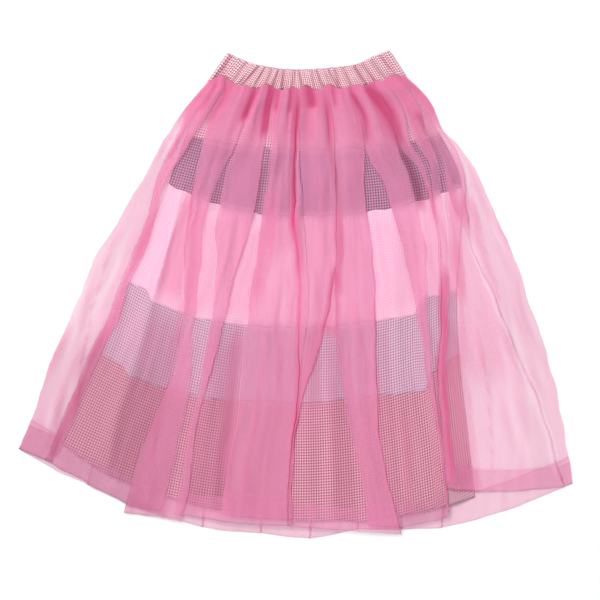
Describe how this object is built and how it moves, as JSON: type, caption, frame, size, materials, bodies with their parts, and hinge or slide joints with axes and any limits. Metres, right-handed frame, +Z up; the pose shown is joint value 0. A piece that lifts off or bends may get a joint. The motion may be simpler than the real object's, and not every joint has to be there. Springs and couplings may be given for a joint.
{
  "type": "girl's gathered skirt with a sheer overskirt, laid flat",
  "caption": "Gathered midi skirt laid flat: a tiered small-check inner skirt under a longer, fuller sheer overskirt, both gathered into a ruched elastic waistband.",
  "frame": {"origin": "on the table, under the middle of the laid-out skirt's box", "axes": "+X across the skirt, to the right as seen from above, +Y from hem to waist, +Z up off the table"},
  "size_m": [0.662, 0.5872, 0.0112],
  "materials": {
    "pink_organza": "sheer, crisp, with a faint sheen",
    "rose_check": "matt cotton gingham, rose and white",
    "plum_check": "matt cotton gingham, plum-black and white",
    "pale_pink_check": "matt cotton gingham, pale pink and white",
    "grey_blue_check": "matt cotton gingham, grey-blue and white",
    "red_check": "matt cotton gingham, rose-red and white"
  },
  "bodies": {
    "root": {"waistband": "rose_check", "overskirt_front": "pink_organza", "overskirt_back": "pink_organza", "inner_front_tier_1": "rose_check", "inner_front_tier_2": "plum_check", "inner_front_tier_3": "pale_pink_check", "inner_front_tier_4": "grey_blue_check", "inner_front_tier_5": "red_check", "inner_back_tier_1": "rose_check", "inner_back_tier_2": "plum_check", "inner_back_tier_3": "pale_pink_check", "inner_back_tier_4": "grey_blue_check", "inner_back_tier_5": "red_check"}
  },
  "joints": []
}
